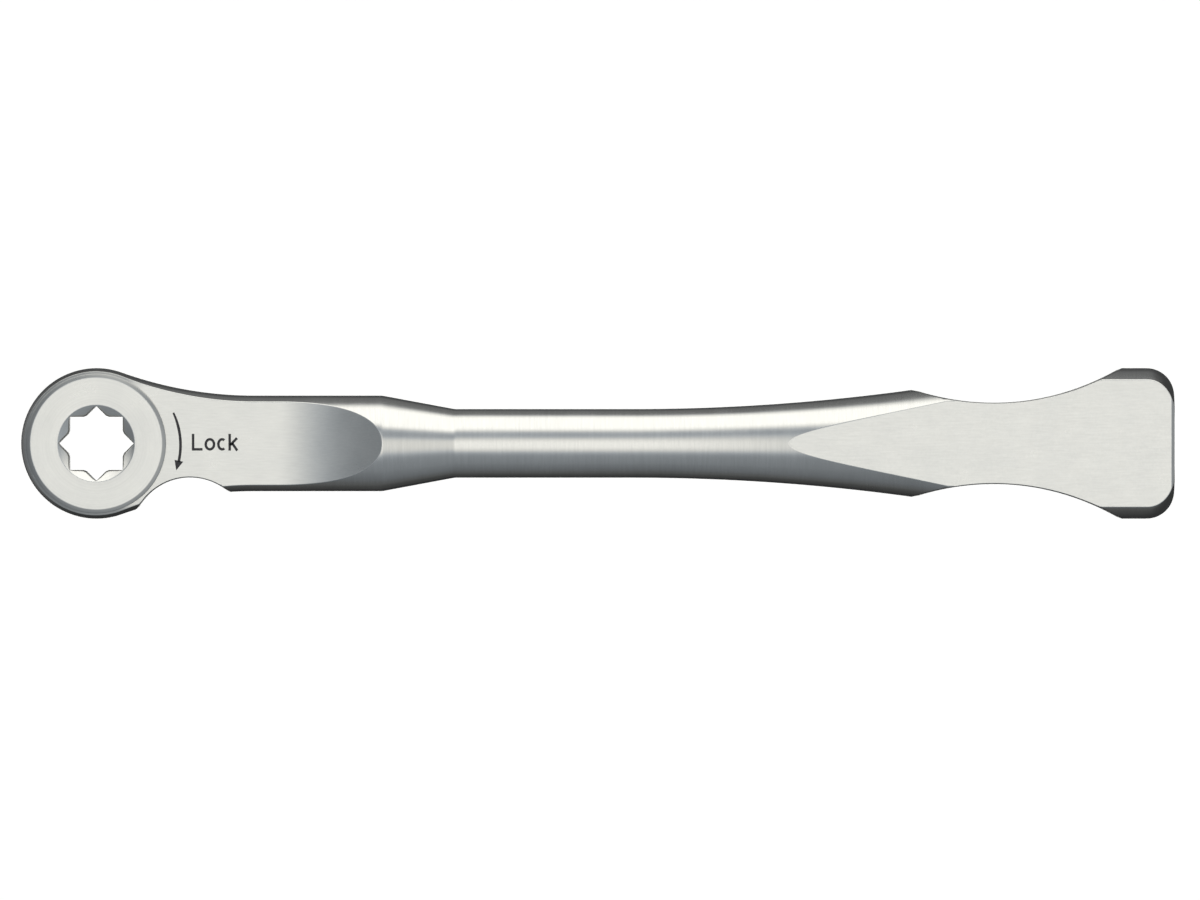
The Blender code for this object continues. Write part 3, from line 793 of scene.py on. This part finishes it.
def add_wheel(finish):
    """Fine wheel and rear flange in place of the CAD's, with their rims dished as in the photograph."""
    trimmed = min(np.linspace(0.0, 22.5, 4001), key=lambda turn: abs(star_side(turn) - PILOT_RADIUS))
    side = np.linspace(0.0, trimmed, 10)
    arc = np.linspace(trimmed, 45.0 - trimmed, 7)
    sector = [*side[:-1], *arc[:-1], *(45.0 - side[:0:-1])]
    wheel = lathe("wheel_core", core_profile, [45.0 * n + angle for n in range(8) for angle in sector])
    teeth = prism("tool_teeth", tooth_outline(), -TEETH_HALF, TEETH_HALF + WHEEL_BREAK)
    inside_hub = prism("tool_hub", circle(HUB_RADIUS - 0.4, 96, (HEAD_X, 0.0)), -FLANGE_FOOT, FLANGE_FOOT)
    combine(teeth, [(inside_hub, "DIFFERENCE")])
    combine(wheel, [(teeth, "UNION")])

    collar = softened([
        (COLLAR_RECESS, -FLANGE_TOP), (FACE_RADIUS, -FLANGE_TOP), (FLANGE_RADIUS, RIM_DROP - FLANGE_TOP),
        (FLANGE_RADIUS, -FLANGE_FOOT), (LAND_RADIUS, -FLANGE_FOOT), (LAND_RADIUS, COLLAR_TOP),
        (COLLAR_BORE, COLLAR_TOP), (COLLAR_BORE, GROOVE_HIGH), (COLLAR_RECESS, GROOVE_HIGH),
    ], WHEEL_BREAK)
    flange = lathe("rear_collar", lambda angle: collar, np.arange(192) * 360.0 / 192)
    for piece, node in ((wheel, "ratchet_wheel"), (flange, "rear_flange")):
        piece.data.materials.clear()
        piece.data.materials.append(finish)
        smooth_by_area(piece)
        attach(piece, "wheel")
        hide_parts(node)


add_wheel(wheel_steel)

for node, material in (
    ("snap_ring", drawn_steel),
    ("pawl", hard_steel),
    ("pawl_pin", hard_steel),
    ("pawl_spring", drawn_steel),
):
    piece = bpy.data.objects[node]
    piece.data.materials.clear()
    piece.data.materials.append(material)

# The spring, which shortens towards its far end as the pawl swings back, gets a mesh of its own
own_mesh(bpy.data.objects["pawl_spring"])


# Marks on the neck: half their thickness, the arrow's arc, and the word's line, stroke and letter heights
MARK_HALF = 0.004
ARC_CENTRE = (HEAD_X + 0.60, -0.13)
ARC_RADIUS = 5.84
base = -0.55
stroke = 0.195
tall, small = 1.28, 0.96


def ribbon(bm, line, widths, closed=False):
    """Flat stroke of a given width along a line, its corners mitred."""
    count = len(line)
    pairs = []
    for n, point in enumerate(line):
        before = line[n - 1] if n or closed else point
        after = line[(n + 1) % count] if n < count - 1 or closed else point
        inward = np.subtract(point, before)
        onward = np.subtract(after, point)
        inward, onward = (step / max(np.linalg.norm(step), 1e-9) for step in (inward, onward))
        inward, onward = (step if np.any(step) else inward + onward for step in (inward, onward))
        along = inward + onward
        along = along / np.linalg.norm(along)
        across = np.array([-along[1], along[0]])
        stretch = 1.0 / max(0.5, float(np.dot(along, onward)))
        half = widths[n] / 2 * stretch
        pairs.append([np.add(point, across * half), np.subtract(point, across * half)])
    rows = [[bm.verts.new((p[0], p[1], 0.0)) for p in pair] for pair in pairs]
    for n in range(count if closed else count - 1):
        a, b = rows[n], rows[(n + 1) % count]
        bm.faces.new([a[0], a[1], b[1], b[0]])


def mark(name, bm, material, body="handle"):
    """Thin mark that lies on the neck's flat, half sunk into it."""
    bmesh.ops.recalc_face_normals(bm, faces=bm.faces)
    top = AXIS_HEIGHT + NECK_HALF
    raised = bmesh.ops.extrude_face_region(bm, geom=bm.faces[:])["geom"]
    tops = [v for v in raised if isinstance(v, bmesh.types.BMVert)]
    for vert in bm.verts:
        vert.co.z = top - MARK_HALF
    for vert in tops:
        vert.co.z = top + MARK_HALF
    for vert in bm.verts:
        vert.co *= MM
    bmesh.ops.recalc_face_normals(bm, faces=bm.faces)
    mesh = bpy.data.meshes.new(name)
    bm.to_mesh(mesh)
    bm.free()
    mesh.materials.append(material)
    piece = bpy.data.objects.new(name, mesh)
    bpy.context.scene.collection.objects.link(piece)
    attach(piece, body)


def marking_material():
    """Dark laser mark with a slightly uneven tone."""
    material, tree, shader = new_material("laser_mark")
    coordinates = tree.nodes.new("ShaderNodeTexCoord").outputs["Object"]
    patches = spread(tree, grain(tree, coordinates, (FINE_SCALE,) * 3, 3.0), 0.0, 1.0)
    tone = mix(tree, patches, (0.012, 0.011, 0.012, 1.0), (0.045, 0.042, 0.042, 1.0))
    link(tree, tone, shader.inputs["Base Color"])
    link(tree, spread(tree, grain(tree, coordinates, (4000.0,) * 3), 0.5, 0.65), shader.inputs["Roughness"])
    return material


laser = marking_material()

# Turning arrow, on an arc about the wheel
arrow = bmesh.new()
arc_line = [polar(ARC_RADIUS, turn, ARC_CENTRE) for turn in np.linspace(25.0, -12.5, 30)]
ribbon(arrow, arc_line, [0.15 + 0.06 * min(1.0, n / 8.0) for n in range(30)])
tip = polar(ARC_RADIUS, -19.3, ARC_CENTRE)
wings = [polar(ARC_RADIUS + side, -11.8, ARC_CENTRE) for side in (-0.34, 0.34)]
arrow.faces.new([arrow.verts.new((*p, 0.0)) for p in (tip, wings[1], wings[0])])
mark("turning_arrow", arrow, laser)

# Plain word that says what the arrow does, in single strokes
word = bmesh.new()


def bowl(centre_x, width, start, end, count, closed=False):
    """Round letter stroke from one angle to another."""
    turns = np.linspace(start, end, count)
    line = [
        (centre_x + (width - stroke) / 2 * math.cos(a), base + small / 2 + (small - stroke) / 2 * math.sin(a))
        for a in turns
    ]
    ribbon(word, line, [stroke] * count, closed)


foot = base + stroke / 2
ribbon(word, [(-30.85, base + tall), (-30.85, foot), (-30.13, foot)], [stroke] * 3)
bowl(-29.57, 0.83, 0.0, 2.0 * math.pi * 31 / 32, 32, True)
bowl(-28.64, 0.76, 0.92, 2.0 * math.pi - 0.92, 26)
ribbon(word, [(-28.06, base + tall), (-28.06, base)], [stroke] * 2)
ribbon(word, [(-27.50, base + small), (-28.02, base + 0.42)], [stroke] * 2)
ribbon(word, [(-27.88, base + 0.58), (-27.48, base)], [stroke] * 2)
mark("turning_word", word, laser)


# Floor, studio light and camera

# Metres: the floor's depth and half width, the gap in the cards round the wrench, backdrop and camera
FLOOR_DROP = 0.30
FLOOR_HALF = 4.0
CARD_GAP_X = 0.062
CARD_GAP_Y = 0.041
CARD_LIFT = 0.001
BACKDROP_RADIUS = 1.6
CAMERA_PLACE = (0.000183, -0.000504, AXIS_HEIGHT * MM + 2.0)
CAMERA_LENS = 786.0
BLACK = (0.0, 0.0, 0.0, 1.0)
WHITE = (1.0, 1.0, 1.0, 1.0)


def plane(name, x0, y0, x1, y1, z, material):
    """Level rectangle of the stage."""
    mesh = bpy.data.meshes.new(name)
    mesh.from_pydata([(x0, y0, z), (x1, y0, z), (x1, y1, z), (x0, y1, z)], [], [(0, 1, 2, 3)])
    mesh.materials.append(material)
    piece = bpy.data.objects.new(name, mesh)
    bpy.context.scene.collection.objects.link(piece)
    return piece


def seen_through_from_behind(tree):
    """Let a stage material show its shader on the front of its faces alone."""
    either = tree.nodes.new("ShaderNodeMixShader")
    link(tree, tree.nodes.new("ShaderNodeNewGeometry").outputs["Backfacing"], either.inputs["Fac"])
    link(tree, tree.nodes["Principled BSDF"].outputs["BSDF"], either.inputs[1])
    link(tree, tree.nodes.new("ShaderNodeBsdfTransparent").outputs["BSDF"], either.inputs[2])
    link(tree, either.outputs["Shader"], tree.nodes["Material Output"].inputs["Surface"])


def glowing_material(name, base, strength=0.0):
    """Dull material of the stage that glows in white."""
    material, tree, shader = new_material(name)
    shader.inputs["Base Color"].default_value = base
    shader.inputs["Specular IOR Level"].default_value = 0.0
    shader.inputs["Emission Color"].default_value = WHITE
    shader.inputs["Emission Strength"].default_value = strength
    return material, tree, shader


def floor_material():
    """Pale floor, white under the wrench and slightly greyer farther out, that is seen through from below.
    Its emission, stronger under the wrench than farther out, is a painted pool of light.
    """
    material, tree, shader = glowing_material("pale_floor", (0.92, 0.888, 0.832, 1.0))
    shader.inputs["Roughness"].default_value = 0.9
    distance = tree.nodes.new("ShaderNodeVectorMath")
    distance.operation = "LENGTH"
    link(tree, tree.nodes.new("ShaderNodeTexCoord").outputs["Object"], distance.inputs[0])
    # Painted pool of light: the floor glows more near the wrench and less farther out
    light_pool_glow = spread(tree, distance.outputs["Value"], 0.43, 0.27, (0.32, 0.54))
    link(tree, light_pool_glow, shader.inputs["Emission Strength"])
    seen_through_from_behind(tree)
    return material


plane("floor", -FLOOR_HALF, -FLOOR_HALF, FLOOR_HALF, FLOOR_HALF, -FLOOR_DROP, floor_material())


def ramp(tree, value, stops):
    """Smooth curve through (place, value) pairs over 0 to 1."""
    node = tree.nodes.new("ShaderNodeValToRGB")
    elements = node.color_ramp.elements
    node.color_ramp.interpolation = "EASE"
    while len(elements) < len(stops):
        elements.new(0.5)
    for element, (place, level) in zip(elements, stops):
        element.position = place
        element.color = (level, level, level, 1.0)
    link(tree, value, node.inputs["Fac"])
    return node.outputs["Color"]


# Light about the bar, by angle from +Z towards +Y: dark front, overhead strip, gap, softbox, dark below
LIGHT_PEAK = 1.9
ACROSS = [
    (-180, 0.03), (-150, 0.035), (-133, 0.07), (-112, 0.13), (-97, 0.19), (-82, 0.24), (-69, 0.30),
    (-58, 0.33), (-47, 0.36), (-39, 0.41), (-32, 0.56), (-25, 0.94), (-19, 1.25), (-12, 1.42), (0, 1.45),
    (8, 1.34), (14, 1.00), (20, 0.66), (26, 0.52), (32, 0.54), (38, 0.70), (42, 1.05), (46, 1.42),
    (50, 1.67), (96, 1.67), (103, 1.15), (109, 0.52), (115, 0.23), (138, 0.18), (152, 0.08), (180, 0.04),
]

# Along the bar, by angle towards +X: how far the strip and the softbox reach, and the light beside them
STRIP = [
    (-90, 0.0), (-35, 0.0), (-30, 0.05), (-25, 0.14), (-20, 0.25), (-15, 0.37), (-10, 0.57), (-5, 0.86),
    (0, 1.0), (10, 0.90), (21, 0.65), (30, 0.42), (40, 0.24), (50, 0.12), (65, 0.04), (90, 0.0),
]
WIDE = [
    (-90, 0.0), (-72, 0.5), (-60, 0.75), (-45, 0.75), (-30, 0.75), (-20, 1.0), (30, 1.0), (60, 0.4),
    (90, 0.0),
]
SIDE = [
    (-90, 0.20), (-60, 0.22), (-46, 0.27), (-30, 0.265), (-15, 0.27), (0, 0.29), (30, 0.34), (50, 0.42),
    (68, 0.48), (90, 0.30),
]

# The same below the horizon
LOW_STRIP = [(-90, 0.0), (-35, 0.0), (-20, 0.5), (-12, 1.0), (12, 1.0), (24, 0.5), (40, 0.0), (90, 0.0)]
LOW_SIDE = [(-90, 0.20), (-32, 0.19), (-24, 0.09), (-14, 0.05), (0, 0.04), (46, 0.05), (68, 0.25), (90, 0.30)]

# How far the softbox's lower edge moves with the angle along the bar, in degrees about it
EDGE_SHIFT = [(-90, -6), (-30, -8), (-8, -8), (0, 0), (21, 5), (90, 5)]
MOST_SHIFT = 10.0

# Where the softbox's edge, the softbox and the space below the horizon lie about the bar
NEAR_EDGE = [(-180, 0.0), (5, 0.0), (25, 1.0), (60, 1.0), (85, 0.0), (180, 0.0)]
SOFTBOX = [(-180, 0.0), (34, 0.0), (45, 1.0), (108, 1.0), (126, 0.0), (180, 0.0)]
BELOW = [(-180, 1.0), (-128, 1.0), (-112, 0.0), (112, 0.0), (128, 1.0), (180, 1.0)]

# Share of the cool tint, by level and about the bar
COOL = (0.93, 1.02, 1.15, 1.0)
COOL_BY_LEVEL = [(0.0, 0.65), (0.05, 0.65), (0.11, 0.0), (0.25, 0.0), (0.55, 1.0), (1.0, 1.0)]
COOL_BY_SIDE = [(-180, 0.65), (-135, 0.5), (-110, 0.0), (60, 0.0), (95, 0.65), (180, 0.65)]


def by_place(stops, scale=1.0):
    """Ramp stops from angles about the bar."""
    return [((angle + 180) / 360, level / scale) for angle, level in stops]


def by_lean(stops, scale=1.0):
    """Ramp stops from angles along the bar."""
    return [((angle + 90) / 180, level / scale) for angle, level in stops]


def studio_light(tree, direction):
    """Colour of the studio in a direction: overhead strip, softbox at the back, dim front, dark below."""
    unit = tree.nodes.new("ShaderNodeVectorMath")
    unit.operation = "NORMALIZE"
    link(tree, direction, unit.inputs[0])
    x, y, z = split_axes(tree, unit.outputs["Vector"])
    turn = math_node(tree, "ARCTAN2", y, z)
    place = math_node(tree, "MULTIPLY_ADD", turn, 0.5 / math.pi, 0.5)
    lean = math_node(tree, "MULTIPLY_ADD", math_node(tree, "ARCSINE", x), 1.0 / math.pi, 0.5)

    def across(stops, scale=1.0):
        """Value by the angle about the bar."""
        return ramp(tree, place, by_place(stops, scale))

    def along(stops, scale=1.0):
        """Value by the angle along the bar."""
        return ramp(tree, lean, by_lean(stops, scale))

    shift = along([(angle, (move + MOST_SHIFT) / 2) for angle, move in EDGE_SHIFT], MOST_SHIFT)
    shift = math_node(tree, "MULTIPLY_ADD", shift, MOST_SHIFT / 180, -MOST_SHIFT / 360)
    slanted = math_node(tree, "ADD", place, math_node(tree, "MULTIPLY", shift, across(NEAR_EDGE)))
    full = ramp(tree, slanted, by_place(ACROSS, LIGHT_PEAK))
    reach = mix(tree, across(SOFTBOX), along(STRIP), along(WIDE))
    high = mix(tree, reach, along(SIDE, LIGHT_PEAK), full)
    low = mix(tree, along(LOW_STRIP), along(LOW_SIDE, LIGHT_PEAK), full)
    level = mix(tree, across(BELOW), high, low)
    cool = math_node(tree, "MAXIMUM", ramp(tree, level, COOL_BY_LEVEL), across(COOL_BY_SIDE))
    return mix(tree, 1.0, level, mix(tree, cool, COOL, WHITE), "MULTIPLY")


def make_world():
    """Soft studio light all round."""
    world = bpy.data.worlds.new("studio")
    world.use_nodes = True
    tree = world.node_tree
    background = tree.nodes["Background"]
    direction = tree.nodes.new("ShaderNodeTexCoord").outputs["Generated"]
    link(tree, studio_light(tree, direction), background.inputs["Color"])
    background.inputs["Strength"].default_value = LIGHT_PEAK
    bpy.context.scene.world = world


def card_material():
    """Graduated card that carries the studio's tones on below the horizon."""
    material, tree, shader = glowing_material("graduated_card", BLACK, LIGHT_PEAK)
    direction = tree.nodes.new("ShaderNodeTexCoord").outputs["Object"]
    link(tree, studio_light(tree, direction), shader.inputs["Emission Color"])
    return material


card = card_material()
for name, x0, y0, x1, y1 in (
    ("card_front", -FLOOR_HALF, -FLOOR_HALF, FLOOR_HALF, -CARD_GAP_Y),
    ("card_back", -FLOOR_HALF, CARD_GAP_Y, FLOOR_HALF, FLOOR_HALF),
    ("card_left", -FLOOR_HALF, -CARD_GAP_Y, -CARD_GAP_X, CARD_GAP_Y),
    ("card_right", CARD_GAP_X, -CARD_GAP_Y, FLOOR_HALF, CARD_GAP_Y),
):
    piece = plane(name, x0, y0, x1, y1, -FLOOR_DROP + CARD_LIFT, card)
    piece.visible_camera = False
    piece.visible_diffuse = False
    piece.visible_shadow = False

make_world()


def add_backdrop():
    """Pale backdrop all round for the camera, which gives no light and is seen through from outside."""
    material, tree, _ = glowing_material("white_backdrop", BLACK, 0.88)
    seen_through_from_behind(tree)
    bm = bmesh.new()
    bmesh.ops.create_icosphere(bm, subdivisions=4, radius=BACKDROP_RADIUS)
    bmesh.ops.reverse_faces(bm, faces=bm.faces)
    backdrop = finish_tool("backdrop", bm)
    backdrop.data.materials.append(material)
    for kind in ("diffuse", "glossy", "transmission", "shadow", "volume_scatter"):
        setattr(backdrop, "visible_" + kind, False)


add_backdrop()

camera_data = bpy.data.cameras.new("camera")
camera_data.sensor_width = 36.0
camera_data.lens = CAMERA_LENS
camera = bpy.data.objects.new("camera", camera_data)
camera.location = CAMERA_PLACE
camera.rotation_euler = (0.0, 0.0, 0.0)
bpy.context.scene.collection.objects.link(camera)
bpy.context.scene.camera = camera

bpy.context.scene.view_settings.view_transform = "Standard"
